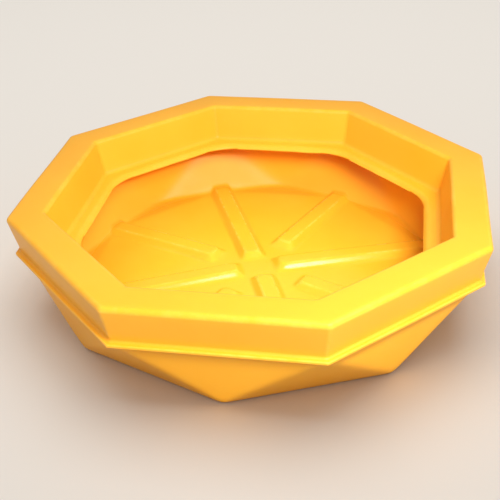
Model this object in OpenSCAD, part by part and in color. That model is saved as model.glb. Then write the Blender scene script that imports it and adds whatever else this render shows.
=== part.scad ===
// Octagonal drum spill tray: one hollow moulding in yellow polyethylene.
// A drafted skirt hangs from a wide flat rim, an inner wall drops to a narrow ledge,
// and below the ledge the sump opens out again to an eight-sided, slightly raised,
// ribbed floor.
// Its zones are drawn as separate solids that meet face to face.
// Origin: centre of the underside, +Z up.  The rim has a flat side facing each axis.

/* [Rim] */
// Width across two opposite sides of the rim, before its edges are rounded
rim_flats = 808; // [640:1:1100]
// Height of the rim above the ground
tray_height = 195; // [160:1:260]
// Width of the flat top of the rim
rim_width = 63; // [45:1:90]
// Height of the skirt, from the trim lip up to the top of the rim
skirt_height = 71; // [50:1:90]
// How far the foot of the skirt stands inside its top edge
skirt_setback = 16.5; // [4:0.5:20]
// Radius of the rim's two long edges
edge_radius = 8; // [6:0.5:12]

/* [Shell] */
// Thickness of the moulded wall
wall = 5; // [3:0.5:7]

/* [Trim lip] */
// How far the lip stands out from the foot of the skirt
lip_width = 9.5; // [4:0.5:16]
// Thickness of the lip
lip_thickness = 5.5; // [3:0.5:9]

/* [Well and ledge] */
// Depth of the well, from the rim's top down to the ledge
well_depth = 70; // [50:1:88]
// How far the foot of the inner wall stands inside its top edge
well_setback = 14; // [4:0.5:20]
// Radius of the fillet where the inner wall meets the ledge
foot_fillet = 10; // [6:0.5:14]
// Distance from the foot of the inner wall in to the cut edge of the opening
ledge_width = 28; // [26:0.5:50]
// Radius of the ledge's rolled-down inner edge
roll_radius = 13; // [9:0.5:16]
// Angle that the rolled edge turns through
roll_angle = 70; // [30:5:80]
// Corner radius of the opening at its cut edge
opening_corner = 85; // [30:5:120]

/* [Sump] */
// How far the sides of the base stand inside the foot of the skirt
base_inset = 48; // [30:1:70]
// How far the middle of the floor stands above its edge
crown = 14; // [6:0.5:20]
// Width of the flat band, under the edge of the floor, that the tray stands on
foot_width = 30; // [20:1:60]

/* [Floor ribs] */
// Width of a rib where it rises from the floor
rib_foot = 48; // [36:1:58]
// Width of a rib's flat top
rib_top = 28; // [18:1:32]
// Height of a rib above the floor
rib_height = 12; // [8:0.5:20]
// Distance from the centre to the foot of each long rib
long_start = 30; // [30:1:60]
// Distance from the centre to the foot of each short rib
short_start = 85; // [80:1:130]
// Horizontal run of the slope at a rib's inner end
rib_end_run = 10.5; // [6:0.5:20]
// Distance from the edge of the base in to the end of the groove under a rib
groove_stop = 14; // [8:1:30]

/* [Hidden] */
SIDES = 8;
SECTOR = 360 / SIDES;
TO_CORNER = 1 / cos(SECTOR / 2);   // circumradius of an octagon of apothem 1
ARC_SEGMENTS = 24;                 // fineness of the fillets in the rim's section
ROLL_STEPS = 5;                    // flats that make up the section of the rolled edge
ROUND = 192;                       // fineness of the opening's corners
WELD_ANGLE = 1;                    // how far each corner turn runs into the sides beside it
SKIN = "gold";
SUMP = "goldenrod";

RIB_COUNT = SIDES;
RIBS = [for (i = [1:RIB_COUNT]) str("floor_rib_", i)];

// Apothems, each half a width across flats
rim_out = rim_flats / 2;
rim_in = rim_out - rim_width;
rim_middle = rim_out - rim_width / 2;
skirt_foot = rim_out - skirt_setback;
well_foot = rim_in - well_setback;
opening = well_foot - ledge_width;
base = skirt_foot - base_inset;

// Heights above the ground
lip_top = tray_height - skirt_height;
lip_bottom = lip_top - lip_thickness;
ledge_top = tray_height - well_depth;
deck_seam = tray_height - edge_radius;

// The ledge's flat seat runs from the foot fillet to the start of the rolled edge
fillet_end = well_foot - foot_fillet * tan((90 - atan(well_setback / well_depth)) / 2);
roll_start = opening + roll_radius * sin(roll_angle);
seat_corner = opening_corner + roll_start - opening;

// The sump wall leans out by this much for each unit of height on its leaning facets
wall_height = lip_bottom - wall;
lean = (skirt_foot * TO_CORNER - base) / wall_height;
wall_run = wall * TO_CORNER * sqrt(1 + lean * lean);   // its thickness measured along a corner
floor_edge = base - wall_run / TO_CORNER;              // where the floor meets the sump wall
inner_lean = (skirt_foot * TO_CORNER - wall_run - floor_edge) / wall_height;

// The opening's corner centres, and half the straight part of each of its sides
corner_centre = opening - opening_corner;
side_half = corner_centre * tan(SECTOR / 2);

// The floor is a shallow pyramid, and this is how much it falls per unit of distance
crown_fall = crown / floor_edge;
// Slopes of a rib's sides and inner end, as run over rise, and how far the top of its
// outer end leans out with the sump wall
side_slope = (rib_foot - rib_top) / 2 / rib_height;
end_slope = rib_end_run / rib_height;
outer_lean = inner_lean * rib_height / (1 + crown_fall * inner_lean);

// Thickness of a sloping wall measured along its run
function slant(slope) = wall * sqrt(1 + slope * slope);
// Height of the floor's top along the middle of a rib
function floor_height(x) = wall + crown_fall * (floor_edge - x);
// Every other rib is a long one
function rib_start(i) = i % 2 == 1 ? long_start : short_start;

// ---- outlines in plan ----

// Octagon with a side facing each axis
module octagon(apothem) {
    rotate(SECTOR / 2) circle(r = apothem * TO_CORNER, $fn = SIDES);
}

// The same with its corners rounded to the given radius
module rounded_octagon(apothem, corner) {
    offset(r = corner, $fn = ROUND) octagon(apothem - corner);
}

// ---- bodies of the shell ----

// Octagonal ring swept from a section drawn as [apothem, height]
module ring() {
    rotate([0, 0, SECTOR / 2]) rotate_extrude($fn = SIDES) scale([TO_CORNER, 1]) children();
}

// Flat octagonal ring between two heights
module plate(low, high) {
    translate([0, 0, low]) linear_extrude(high - low) children();
}

// Section of the solid that the rim's visible skin encloses, down to the ground
module rim_outline() {
    offset(r = -foot_fillet, $fn = ARC_SEGMENTS) offset(delta = foot_fillet)
        offset(r = edge_radius, $fn = ARC_SEGMENTS) offset(delta = -edge_radius)
            polygon([[rim_out - skirt_setback / skirt_height * tray_height, 0],
                     [rim_out, tray_height], [rim_in, tray_height],
                     [well_foot, ledge_top], [opening / 2, ledge_top], [opening / 2, 0]]);
}

// Section of the rim's moulded wall
module rim_skin() {
    difference() {
        rim_outline();
        offset(delta = -wall) rim_outline();
    }
}

// The part of a section between two apothems and two heights
module zone(x_low, x_high, z_low, z_high) {
    intersection() {
        children();
        translate([x_low, z_low]) square([x_high - x_low, z_high - z_low]);
    }
}

// Section of the rolled-down edge, with x measured from the opening's corner centre
module roll_section() {
    step = roll_angle / ROLL_STEPS;
    outer = [for (a = [0:step:roll_angle]) [seat_corner - roll_radius * sin(a),
                                            ledge_top - roll_radius * (1 - cos(a))]];
    under = roll_radius - wall;
    inner = [for (a = [roll_angle:-step:0]) [seat_corner - under * sin(a),
                                             ledge_top - roll_radius + under * cos(a)]];
    polygon(concat(outer, inner));
}

// Antiprism on its smaller face: corners on the axes below, between them above
module antiprism(low, high, z_low, z_high) {
    rings = [[low, 0, z_low], [high, 0.5, z_high]];
    polyhedron(
        points = [for (g = rings) for (k = [0:SIDES - 1])
            [g[0] * cos((k + g[1]) * SECTOR), g[0] * sin((k + g[1]) * SECTOR), g[2]]],
        faces = concat(
            [[for (k = [0:SIDES - 1]) k]],
            [[for (k = [0:SIDES - 1]) 2 * SIDES - 1 - k]],
            [for (k = [0:SIDES - 1]) [k, SIDES + k, (k + 1) % SIDES]],
            [for (k = [0:SIDES - 1]) [SIDES + k, SIDES + (k + 1) % SIDES, (k + 1) % SIDES]]));
}

// The space inside the sump, between the floor and the trim lip
module sump_space() {
    antiprism(base * TO_CORNER - wall_run, skirt_foot * TO_CORNER - wall_run, wall, lip_bottom);
}

// Box along +X whose sides, and whose two ends by their own runs, slope in towards the
// top; low and high are heights above the floor's surface, which it follows
module trough(start, finish, foot, top, low, high, start_run, finish_run) {
    ends = [[start, start + start_run], [finish, finish - finish_run]];
    polyhedron(
        points = [for (e = ends) for (side = [-1, 1])
            each [[e[0], side * foot / 2, floor_height(e[0]) + low],
                  [e[1], side * top / 2, floor_height(e[1]) + high]]],
        faces = [[0, 4, 6, 2], [1, 3, 7, 5], [0, 1, 5, 4], [4, 5, 7, 6], [6, 7, 3, 2], [2, 3, 1, 0]]);
}

// ---- zones of the tray ----

module trim_lip() color(SKIN)
    plate(lip_bottom, lip_top) difference() {
        octagon(skirt_foot + lip_width);
        octagon(skirt_foot - wall_run / TO_CORNER);
    }

module skirt() color(SKIN)
    ring() zone(rim_middle, rim_out, lip_top, deck_seam) rim_skin();

module rim_deck() color(SKIN)
    ring() zone(opening, rim_out, deck_seam, tray_height) rim_skin();

module inner_wall() color(SKIN)
    ring() zone(fillet_end, rim_middle, ledge_top - wall, deck_seam) rim_skin();

// Flat seat of the ledge, with the rolled edge's start cut out of it
module grate_ledge() color(SKIN)
    plate(ledge_top - wall, ledge_top) difference() {
        octagon(fillet_end);
        rounded_octagon(roll_start, seat_corner);
    }

// The rolled edge: a straight piece along each side and a turn at each corner
module opening_lip() color(SKIN) {
    for (k = [0:SIDES - 1]) rotate([0, 0, k * SECTOR]) translate([corner_centre, side_half, 0])
        rotate([90, 0, 0]) linear_extrude(2 * side_half) roll_section();
    for (k = [0:SIDES - 1]) rotate([0, 0, k * SECTOR]) translate([corner_centre, side_half, 0])
        rotate([0, 0, -WELD_ANGLE])
            rotate_extrude(angle = SECTOR + 2 * WELD_ANGLE, $fn = ROUND) roll_section();
}

// Sixteen flat facets: one set stands on the sides of the base and ends at the skirt's
// corners, the other hangs from the skirt's sides and ends at the base's corners
module sump_wall() color(SUMP)
    difference() {
        antiprism(base * TO_CORNER, skirt_foot * TO_CORNER, wall, lip_bottom);
        sump_space();
    }

// Eight-sided floor, turned half a sector from the rim, slotted where the ribs stand:
// a flat band round a shallow pyramid that is hollow underneath
module sump_floor() color(SUMP)
    difference() {
        rotate([0, 0, SECTOR / 2]) ring()
            polygon([[0, crown], [base - foot_width, 0], [base, 0], [base, wall],
                     [floor_edge, wall], [0, wall + crown]]);
        for (i = [1:RIB_COUNT]) rib_turn(i) plate(0, wall + crown) rib_slot(i);
    }

// Turns a rib to the middle of its side of the base
module rib_turn(i) {
    rotate([0, 0, (i - 0.5) * SECTOR]) children();
}

module rib_slot(i) {
    translate([rib_start(i), -rib_foot / 2]) square([floor_edge - rib_start(i), rib_foot]);
}

// Hollow rib: it runs up to the sump wall, and a groove under it stops inside the base
module floor_rib(i) color(SUMP) {
    high = rib_height - wall;
    low = -2 * wall;   // clear of the underside
    rib_turn(i) difference() {
        union() {
            trough(rib_start(i), floor_edge, rib_foot, rib_foot, -wall, 0, 0, 0);
            trough(rib_start(i), floor_edge, rib_foot, rib_top, 0, rib_height,
                   rib_end_run, -outer_lean);
        }
        trough(rib_start(i) + end_slope * low + slant(end_slope),
               base - groove_stop - end_slope * (low + wall),
               rib_foot - 2 * side_slope * low - 2 * slant(side_slope),
               rib_foot - 2 * side_slope * high - 2 * slant(side_slope),
               low, high, end_slope * (high - low), end_slope * (high - low));
    }
}

trim_lip();
skirt();
rim_deck();
inner_wall();
grate_ledge();
opening_lip();
sump_wall();
sump_floor();
for (i = [1:RIB_COUNT]) floor_rib(i);
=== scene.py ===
import math

import bpy
import numpy as np
from mathutils import Matrix, Vector


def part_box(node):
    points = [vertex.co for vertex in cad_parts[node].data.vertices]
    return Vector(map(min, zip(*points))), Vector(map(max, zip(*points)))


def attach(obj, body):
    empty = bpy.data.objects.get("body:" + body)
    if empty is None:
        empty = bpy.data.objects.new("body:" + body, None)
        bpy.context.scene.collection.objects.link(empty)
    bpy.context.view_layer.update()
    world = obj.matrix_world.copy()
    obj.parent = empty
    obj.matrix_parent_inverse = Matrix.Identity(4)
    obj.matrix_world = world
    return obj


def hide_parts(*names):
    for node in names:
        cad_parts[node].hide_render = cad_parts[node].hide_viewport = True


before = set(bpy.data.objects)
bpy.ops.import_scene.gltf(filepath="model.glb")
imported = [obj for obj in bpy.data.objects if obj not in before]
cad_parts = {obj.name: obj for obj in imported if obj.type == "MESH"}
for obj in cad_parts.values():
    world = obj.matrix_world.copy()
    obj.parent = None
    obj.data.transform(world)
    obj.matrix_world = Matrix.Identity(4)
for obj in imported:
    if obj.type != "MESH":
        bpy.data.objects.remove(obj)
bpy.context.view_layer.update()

# ---------------------------------------------------------------- sizes, in metres
MM = 0.001
SIDES = 8
SECTOR = 2 * math.pi / SIDES
HALF = SECTOR / 2
TO_CORNER = 1 / math.cos(HALF)  # from the middle of an octagon's side to its corner

# read from the frame
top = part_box("rim_deck")[1].z
deck_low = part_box("rim_deck")[0].z
lip_low, lip_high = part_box("trim_lip")[0].z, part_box("trim_lip")[1].z
lip_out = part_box("trim_lip")[1].x
skirt_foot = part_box("sump_wall")[1].x
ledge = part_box("grate_ledge")[1].z
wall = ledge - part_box("grate_ledge")[0].z
seat_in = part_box("opening_lip")[1].x
base_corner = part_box("sump_floor")[1].x
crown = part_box("sump_floor")[1].z - wall
rib_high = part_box("floor_rib_1")[1].z

# the part's own sizes that its boxes don't give
skirt_setback = 16.5 * MM
rim_width = 63 * MM
well_setback = 14 * MM
foot_fillet = 10 * MM
roll_radius = 13 * MM
roll_angle = math.radians(70)
opening_corner = 85 * MM
foot_width = 30 * MM
rib_foot, rib_flat = 48 * MM, 28 * MM
long_start, short_start = 30 * MM, 85 * MM
rib_run = 10.5 * MM
groove_stop = 14 * MM

edge_radius = top - deck_low
rim_out = skirt_foot + skirt_setback
rim_in = rim_out - rim_width
well_foot = rim_in - well_setback
base_side = base_corner / TO_CORNER

# inner faces of the sump: standing facets are wide at the base, hanging ones at the rim
depth = lip_low - wall
lean_out = (skirt_foot * TO_CORNER - base_side) / depth
inset = wall * TO_CORNER * math.sqrt(1 + lean_out ** 2)
low_corner = base_corner - inset
low_side = low_corner / TO_CORNER
high_corner = skirt_foot * TO_CORNER - inset
high_side = high_corner / TO_CORNER
stand_lean = (high_corner - low_side) / depth
hang_lean = (high_side - low_corner) / depth
crown_fall = crown / low_side
rib_height = rib_high - wall - crown_fall * (low_side - long_start - rib_run)
side_run = (rib_foot - rib_flat) / 2 / rib_height
end_run = rib_run / rib_height


# ---------------------------------------------------------------- columns round the tray
def column_angles(count=88):
    """Angles over one turn, closer together at the corners, over the ribs' sides and mid-side."""
    t = np.linspace(-HALF, HALF, 4001)
    deg = np.degrees(np.abs(t))
    density = 0.55
    for peak, height, width in ((22.5, 2.2, 1.1), (19.0, 0.9, 1.6), (0.0, 1.2, 2.2)):
        density = density + height * np.exp(-((deg - peak) / width) ** 2)
    total = np.concatenate([[0], np.cumsum((density[1:] + density[:-1]) / 2)])
    one = np.interp(np.arange(count) / count * total[-1], total, t)
    return np.concatenate([one + k * SECTOR for k in range(SIDES)])


theta = column_angles()
COS, SIN = np.cos(theta), np.sin(theta)


def octagon(apothem, corner):
    """Distance from the axis to a rounded octagon with a flat side facing each axis."""
    t = np.abs((theta + HALF) % SECTOR - HALF)
    inner = apothem - corner
    half = inner * math.tan(HALF)
    across = inner * np.cos(t) + half * np.sin(t)
    arc = across + np.sqrt(np.maximum(across ** 2 - inner ** 2 - half ** 2 + corner ** 2, 0))
    return np.where(apothem * np.tan(t) <= half, apothem / np.cos(t), arc)


# ---------------------------------------------------------------- the rim's section
def arc_points(before, here, after, radius, turn_step=math.radians(11)):
    """Points of the arc that rounds one corner of a path."""
    u = (here - before) / np.linalg.norm(here - before)
    v = (after - here) / np.linalg.norm(after - here)
    turn = math.atan2(u[0] * v[1] - u[1] * v[0], float(np.dot(u, v)))
    start = here - u * radius * math.tan(abs(turn) / 2)
    centre = start + math.copysign(radius, turn) * np.array([-u[1], u[0]])
    arm = start - centre
    n = max(3, math.ceil(abs(turn) / turn_step))
    points = []
    for k in range(n + 1):
        c, s = math.cos(turn * k / n), math.sin(turn * k / n)
        points.append(centre + np.array([arm[0] * c - arm[1] * s, arm[0] * s + arm[1] * c]))
    return points


def section(corners, step=12 * MM):
    """Rows [apothem, height, plan corner radius] along a path whose corners are rounded.
    Each corner is (apothem, height, radius of its arc, plan corner radius)."""
    pts = [np.array(c[:2], float) for c in corners]
    rows = []
    for i, (a, z, radius, plan) in enumerate(corners):
        if radius == 0 or i in (0, len(corners) - 1):
            here = [(a, z, plan)]
        else:
            here = [(p[0], p[1], plan) for p in arc_points(pts[i - 1], pts[i], pts[i + 1], radius)]
        if rows:
            last = np.array(rows[-1])
            n = math.ceil(math.dist(last[:2], here[0][:2]) / step)
            for k in range(1, n):
                rows.append(tuple(last + (np.array(here[0]) - last) * k / n))
        rows += here
    return rows


draft = math.atan2(rim_out - skirt_foot, top - lip_high)
well_draft = math.atan2(rim_in - well_foot, top - ledge)
down = np.array([-math.cos(roll_angle), -math.sin(roll_angle)])
tangent = roll_radius * math.tan(roll_angle / 2)
roll_knee = np.array([seat_in - tangent, ledge])
cut_outer = roll_knee + down * (tangent + 0.5 * MM)
cut_inner = cut_outer + wall * np.array([-down[1], down[0]])
inner_roll = roll_radius - wall
knee_inner = np.array([seat_in - inner_roll * math.tan(roll_angle / 2), ledge - wall])
well_back = wall / math.cos(well_draft)
skirt_back = wall / math.cos(draft)
seat_corner = opening_corner + (seat_in - cut_outer[0]) * 0.6

# from the trim lip over the rim, down the well, round the rolled edge and back inside the rim
rim_rows = section([
    (skirt_foot - 0.6 * MM, lip_low, 0, 6 * MM),
    (lip_out, lip_low, 1.4 * MM, 5 * MM),
    (lip_out, lip_high, 2.2 * MM, 5 * MM),
    (skirt_foot, lip_high, 4.5 * MM, 8 * MM),
    (rim_out, top, edge_radius, 12 * MM),
    (rim_in, top, edge_radius, 12 * MM),
    (well_foot, ledge, foot_fillet, 12 * MM),
    (roll_knee[0], roll_knee[1], roll_radius, seat_corner),
    (cut_outer[0], cut_outer[1], 0.8 * MM, opening_corner),
    (cut_inner[0], cut_inner[1], 0.8 * MM, opening_corner + 4 * MM),
    (knee_inner[0], knee_inner[1], inner_roll, seat_corner),
    (well_foot + well_back - 0.3 * MM, ledge - wall, foot_fillet + wall, 17 * MM),
    (rim_in + well_back, top - wall, 3 * MM, 17 * MM),
    (rim_out - skirt_back, top - wall, 3 * MM, 8 * MM),
    (high_side, lip_low, 0, 8 * MM),
])


# ---------------------------------------------------------------- the sump, as a distance field
def soft_min(values, k):
    """The least of several distances, its corners rounded over about k."""
    values = np.stack(values)
    low = values.min(0)
    return low - k * np.log(np.exp(-(values - low) / k).sum(0))


def rib_solid(x, y, z, stop=None):
    """Distance to the nearest rib, negative inside; a stop ends the ribs short of the wall."""
    found = []
    for i in range(SIDES):
        a = (i + 0.5) * SECTOR
        u = x * math.cos(a) + y * math.sin(a)
        w = np.abs(-x * math.sin(a) + y * math.cos(a))
        up = z - wall - crown_fall * (low_side - u)
        start = long_start if i % 2 == 0 else short_start
        side = (w - rib_foot / 2 + side_run * up) / math.sqrt(1 + side_run ** 2)
        end = (start + end_run * up - u) / math.sqrt(1 + end_run ** 2)
        shape = -soft_min([-side, -end], 3.5 * MM)
        if stop is not None:
            far = (u - stop + end_run * up) / math.sqrt(1 + end_run ** 2)
            shape = -soft_min([-shape, -far], 3 * MM)
        found.append(-soft_min([-shape, rib_height - up], 1.1 * MM))
    return np.stack(found).min(0)


def sump_space(x, y, z, stop=None):
    """Distance into the open space of the sump, falling through zero at the moulding's face.
    With a stop it is the space that the underside is offset from, crowned inside its foot."""
    facets, floor = [], []
    up = z - wall
    for k in range(SIDES):
        a = (k + 0.5) * SECTOR
        u = x * math.cos(a) + y * math.sin(a)
        facets.append((low_side + stand_lean * up - u) / math.sqrt(1 + stand_lean ** 2))
        if stop is None:
            rise = crown_fall * (low_side - u)
        else:
            rise = crown * np.maximum(1 - u / (base_side - foot_width), 0)
        floor.append(rise - up)
        a = k * SECTOR
        u = x * math.cos(a) + y * math.sin(a)
        facets.append((low_corner + hang_lean * up - u) / math.sqrt(1 + hang_lean ** 2))
    blend, ridge = (5 * MM, 0.7 * MM) if stop is None else (1.6 * MM, 0.05 * MM)
    hollow = soft_min([soft_min(facets, blend), -soft_min(floor, ridge)], 1.9 * MM)
    return soft_min([hollow, rib_solid(x, y, z, stop)], 1.3 * MM)


def cast(ox, oz, dx, dz, offset=0.0, stop=None, steps=45):
    """Follows one ray per column, in the column's own upright plane, to the face."""
    dist = np.zeros_like(theta)
    for _ in range(steps):
        r, z = ox + dx * dist, oz + dz * dist
        dist = dist + sump_space(r * COS, r * SIN, z, stop) + offset
    return ox + dx * dist, oz + dz * dist


def sump_rows(offset=0.0, stop=None, floor_step=3 * MM):
    """Rows (distance from the axis, height) from the lip down the wall and in to the centre."""
    hub_high = 46 * MM
    level, fan = 11, 26
    hub = 0.87 * low_side / np.cos(np.abs(theta % SECTOR - HALF))
    hub_z = np.full_like(theta, hub_high)
    rows = []
    for k in range(level):
        z = lip_low + (hub_high - lip_low) * k / level
        rows.append(cast(hub, np.full_like(theta, z), 1.0, 0.0, offset, stop))
    for k in range(fan):
        a = math.pi / 2 * k / fan
        rows.append(cast(hub, hub_z, math.cos(a), -math.sin(a), offset, stop))
    n = math.ceil(hub.min() / floor_step)
    for k in range(n):
        rows.append(cast(hub * (1 - k / n), hub_z, 0.0, -1.0, offset, stop))
    return rows


stop_at = base_side - groove_stop + wall * (math.sqrt(1 + end_run ** 2) - end_run)
inside = sump_rows()
outside = sump_rows(offset=wall, stop=stop_at, floor_step=4.5 * MM)


# ---------------------------------------------------------------- one closed skin
def wander(x, terms, seed):
    """A smooth periodic wave of the angle, about 1 high, for hand-cut edges."""
    rng = np.random.default_rng(seed)
    total = np.zeros_like(x)
    for n in terms:
        total += rng.uniform(0.4, 1) * np.sin(n * x + rng.uniform(0, 2 * math.pi))
    return total / math.sqrt(len(terms))


cut_wave = 0.35 * MM * wander(theta, (3, 5, 9, 14, 22, 31, 43), 4)


def rim_row(apothem, z, plan):
    """One row of the rim; the rows on the rolled edge follow its hand-cut wave."""
    r = octagon(apothem, plan)
    height = np.full_like(theta, z)
    reach = (seat_in + MM - apothem) / (seat_in - cut_outer[0])
    if reach > 0 and z < ledge + MM and apothem < seat_in:
        pull = min(reach, 1.0) ** 2 * cut_wave
        r = r + pull * down[0]
        height = height + pull * down[1]
    return r, height


def cooled(points):
    """The slow hollows and swells of a cooled moulding, none where it stands."""
    x, y, z = (points[..., i] for i in range(3))
    fade = np.clip((z - 4 * MM) / (20 * MM), 0, 1)
    swell = 0.35 * MM * fade * (np.sin(13 * x + 7 * y + 1.1) + np.sin(-9 * x + 15 * y + 11 * z + 2.3)
                                + np.sin(21 * y + 4 * x - 9 * z + 0.4))
    points[..., 0] += swell * COS
    points[..., 1] += swell * SIN
    points[..., 2] += 0.3 * MM * np.sin(17 * x - 12 * y) * fade
    return points


grid = list(reversed(outside)) + [rim_row(*row) for row in rim_rows] + inside
R = np.stack([g[0] for g in grid])
P = cooled(np.stack([R * COS, R * SIN, np.stack([g[1] for g in grid])], -1))


def length(vectors, least):
    return np.maximum(np.linalg.norm(vectors, axis=-1, keepdims=True), least)


def bend(axis):
    """How sharply the skin bends along one way of the grid, positive where it is convex."""
    before, after = P - np.roll(P, 1, axis), np.roll(P, -1, axis) - P
    lb, la = length(before, 1e-6), length(after, 1e-6)
    curve = 2 * (after / la - before / lb) / (la + lb)
    along = np.roll(P, -1, 0) - np.roll(P, 1, 0)
    around = np.roll(P, -1, 1) - np.roll(P, 1, 1)
    normal = np.cross(around, along)
    return -(curve * normal / length(normal, 1e-9)).sum(-1)


convex = bend(0) + bend(1)
convex[[0, -1]] = 0
wear = np.clip((convex - 35) / 130, 0, 1)
# the concave creases, which the material darkens with painted shade
crease = np.clip((-convex - 25) / 120, 0, 1)
dull = np.ones_like(convex)  # everywhere but on the sump's floor
dull[-len(inside):] = np.clip((R[-len(inside):] - low_side) / (14 * MM), 0, 1)


def skin_mesh(name, points, paint):
    """Closes the grid with a point in the middle of its first and last rows."""
    rows, cols = points.shape[:2]
    first = Vector((0, 0, float(points[0, :, 2].mean())))
    last = Vector((0, 0, float(points[-1, :, 2].mean())))
    verts = [first] + [tuple(p) for p in points.reshape(-1, 3)] + [last]
    tip = len(verts) - 1
    end_row = tip - cols
    pairs = [(c, (c + 1) % cols) for c in range(cols)]
    faces = [(0, 1 + d, 1 + c) for c, d in pairs]
    for i in range(rows - 1):
        a, b = 1 + i * cols, 1 + (i + 1) * cols
        faces += [(a + c, a + d, b + d, b + c) for c, d in pairs]
    faces += [(tip, end_row + c, end_row + d) for c, d in pairs]
    mesh = bpy.data.meshes.new(name)
    mesh.from_pydata(verts, [], faces)
    mesh.polygons.foreach_set("use_smooth", [True] * len(mesh.polygons))
    mesh.update()
    for layer_name, values in paint.items():
        layer = mesh.attributes.new(layer_name, "FLOAT", "POINT")
        layer.data.foreach_set("value", np.concatenate([[0], values.ravel(), [0]]).astype(np.float32))
    return mesh


def link_new(name, data):
    obj = bpy.data.objects.new(name, data)
    bpy.context.scene.collection.objects.link(obj)
    return obj


skin = skin_mesh("tray_moulding", P, {"wear": wear, "crease": crease, "dull": dull})
tray = link_new("tray_moulding", skin)


# ---------------------------------------------------------------- material
def plastic():
    """Yellow polyethylene: clouded colour, rubbed edges, painted shade darkening the creases and a fine
    orange peel.
    """
    mat = bpy.data.materials.new("yellow_polyethylene")
    mat.use_nodes = True
    nodes, links = mat.node_tree.nodes, mat.node_tree.links
    shader = nodes["Principled BSDF"]
    coords = nodes.new("ShaderNodeTexCoord")

    def noise(scale, detail, rough=0.5):
        n = nodes.new("ShaderNodeTexNoise")
        n.inputs["Scale"].default_value = scale
        n.inputs["Detail"].default_value = detail
        n.inputs["Roughness"].default_value = rough
        links.new(coords.outputs["Object"], n.inputs["Vector"])
        return n.outputs["Fac"]

    def ramp(value, stops):
        n = nodes.new("ShaderNodeValToRGB")
        links.new(value, n.inputs["Fac"])
        for element, (position, colour) in zip(n.color_ramp.elements, stops):
            element.position = position
            element.color = (*colour, 1)
        return n.outputs["Color"]

    def attribute(name):
        n = nodes.new("ShaderNodeAttribute")
        n.attribute_name = name
        return n.outputs["Fac"]

    def maths(operation, a, b):
        n = nodes.new("ShaderNodeMath")
        n.operation = operation
        for socket, value in zip(n.inputs, (a, b)):
            if isinstance(value, float):
                socket.default_value = value
            else:
                links.new(value, socket)
        return n.outputs["Value"]

    def times(a, b):
        return maths("MULTIPLY", a, b)

    def plus(a, b):
        return maths("ADD", a, b)

    def mix(factor, a, b):
        n = nodes.new("ShaderNodeMix")
        n.data_type = "RGBA"
        first, second, result = n.inputs[6], n.inputs[7], n.outputs[2]  # the colour sockets
        links.new(factor, n.inputs["Factor"])
        links.new(a, first)
        second.default_value = (*b, 1)
        return result

    def spread(value, low, high, start=0.0, end=1.0):
        n = nodes.new("ShaderNodeMapRange")
        n.inputs["From Min"].default_value = start
        n.inputs["From Max"].default_value = end
        n.inputs["To Min"].default_value = low
        n.inputs["To Max"].default_value = high
        links.new(value, n.inputs["Value"])
        return n.outputs["Result"]

    cloud = ramp(noise(5, 4), [(0.3, (0.93, 0.415, 0.018)), (0.7, (0.96, 0.45, 0.028))])
    rubbed = times(attribute("wear"), spread(noise(28, 5, 0.7), 0.0, 1.0, 0.42, 0.66))
    # painted shade: the colour darkens toward a deep orange in the concave creases, where shade falls
    crease_shade = times(attribute("crease"), spread(noise(16, 4, 0.6), 0.2, 1.0, 0.35, 0.7))
    colour = mix(times(rubbed, 0.35), cloud, (0.98, 0.62, 0.12))
    colour = mix(times(crease_shade, 0.3), colour, (0.66, 0.27, 0.012))
    links.new(colour, shader.inputs["Base Color"])

    scuffs = spread(noise(9, 4, 0.6), 0.18, 0.27, 0.3, 0.7)
    gloss = plus(scuffs, times(attribute("dull"), 0.2))
    links.new(plus(gloss, times(rubbed, 0.12)), shader.inputs["Roughness"])

    peel = nodes.new("ShaderNodeBump")
    peel.inputs["Strength"].default_value = 0.1
    peel.inputs["Distance"].default_value = 0.6 * MM
    links.new(noise(260, 2), peel.inputs["Height"])
    links.new(peel.outputs["Normal"], shader.inputs["Normal"])

    shader.inputs["Subsurface Weight"].default_value = 0.12
    shader.inputs["Subsurface Radius"].default_value = (0.012, 0.006, 0.001)
    shader.inputs["Subsurface Scale"].default_value = 1.0
    shader.inputs["Specular IOR Level"].default_value = 0.4
    return mat


tray.data.materials.append(plastic())
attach(tray, "root")
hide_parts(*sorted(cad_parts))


# ---------------------------------------------------------------- floor
def paper():
    mat = bpy.data.materials.new("studio_paper")
    mat.use_nodes = True
    nodes, links = mat.node_tree.nodes, mat.node_tree.links
    shader = nodes["Principled BSDF"]
    shader.inputs["Roughness"].default_value = 0.9
    grain = nodes.new("ShaderNodeTexNoise")
    grain.inputs["Scale"].default_value = 3
    tone = nodes.new("ShaderNodeValToRGB")
    tone.color_ramp.elements[0].color = (0.80, 0.76, 0.71, 1)
    tone.color_ramp.elements[1].color = (0.83, 0.79, 0.74, 1)
    links.new(grain.outputs["Fac"], tone.inputs["Fac"])
    links.new(tone.outputs["Color"], shader.inputs["Base Color"])
    return mat


def floor_sheet(half=6.0, cells=40, below=0.2 * MM):
    """A square sheet of paper, just under the tray."""
    ticks = [(i / cells - 0.5) * 2 * half for i in range(cells + 1)]
    verts = [(x, y, -below) for x in ticks for y in ticks]
    across = cells + 1
    faces = []
    for i in range(cells):
        for j in range(cells):
            a = i * across + j
            faces.append((a, a + across, a + across + 1, a + 1))
    mesh = bpy.data.meshes.new("studio_floor")
    mesh.from_pydata(verts, [], faces)
    mesh.materials.append(paper())
    return link_new("studio_floor", mesh)


sheet = floor_sheet()


# ---------------------------------------------------------------- lights
warm = (1, 0.99, 0.97)


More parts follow.
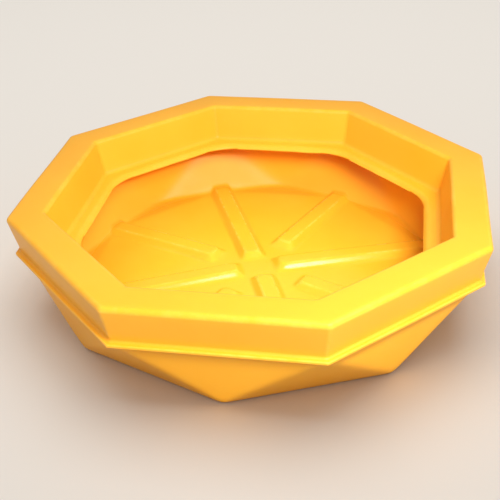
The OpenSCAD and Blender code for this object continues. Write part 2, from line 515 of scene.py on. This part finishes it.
def lamp(name, place, aim, size, power, only, glossy=False):
    """An area light that lights only one object."""
    data = bpy.data.lights.new(name, "AREA")
    data.shape = "RECTANGLE"
    data.size, data.size_y = size
    data.energy = power
    data.color = warm
    obj = link_new(name, data)
    obj.location = place
    obj.rotation_euler = (Vector(place) - Vector(aim)).to_track_quat("Z", "Y").to_euler()
    obj.visible_glossy = glossy
    lit = bpy.data.collections.new(name + "_on")
    lit.objects.link(only)
    obj.light_linking.receiver_collection = lit


def spot_down(name, place, power, angle, softness):
    """A soft round spot light, aimed straight down."""
    data = bpy.data.lights.new(name, "SPOT")
    data.energy = power
    data.color = warm
    data.spot_size = math.radians(angle)
    data.spot_blend = 1
    data.shadow_soft_size = softness
    obj = link_new(name, data)
    obj.location = place
    obj.visible_glossy = False


lamp("strip", (0.53, -0.69, 0.87), (0, 0, 0.02), (0.62, 0.11), 9.2, only=tray, glossy=True)
lamp("front", (0.62, -1.52, 1.6), (0, 0, 0.05), (0.8, 0.8), 36, only=tray)
lamp("paper", (-0.1, 1.0, 5.0), (-0.1, 1.0, 0), (5, 5), 185, only=sheet)
spot_down("overhead", (-0.02, 0.03, 1.7), 62, 27, 0.12)

world = bpy.data.worlds.new("studio")
world.use_nodes = True
background = world.node_tree.nodes["Background"]
background.inputs["Color"].default_value = (0.95, 0.93, 0.90, 1)
background.inputs["Strength"].default_value = 0.5
bpy.context.scene.world = world
bpy.context.scene.view_settings.view_transform = "Standard"


# ---------------------------------------------------------------- camera
def camera_at(place, yaw, pitch, roll, lens):
    """A camera turned left of +Y by yaw, down by pitch and round its own axis by roll, in degrees."""
    yaw, pitch, roll = (math.radians(v) for v in (yaw, pitch, roll))
    forward = Vector((-math.sin(yaw) * math.cos(pitch), math.cos(yaw) * math.cos(pitch), -math.sin(pitch)))
    level = Vector((math.cos(yaw), math.sin(yaw), 0))
    above = level.cross(forward)
    right = math.cos(roll) * level + math.sin(roll) * above
    upward = -math.sin(roll) * level + math.cos(roll) * above
    data = bpy.data.cameras.new("camera")
    data.lens = lens
    data.sensor_width = 36
    camera = link_new("camera", data)
    pose = Matrix((right, upward, -forward)).transposed().to_4x4()
    pose.translation = Vector(place)
    camera.matrix_world = pose
    return camera


viewpoint = (0.2338, -1.4039, 0.9396)
bpy.context.scene.camera = camera_at(viewpoint, yaw=10.016, pitch=31.798, roll=-1.734, lens=64.96)
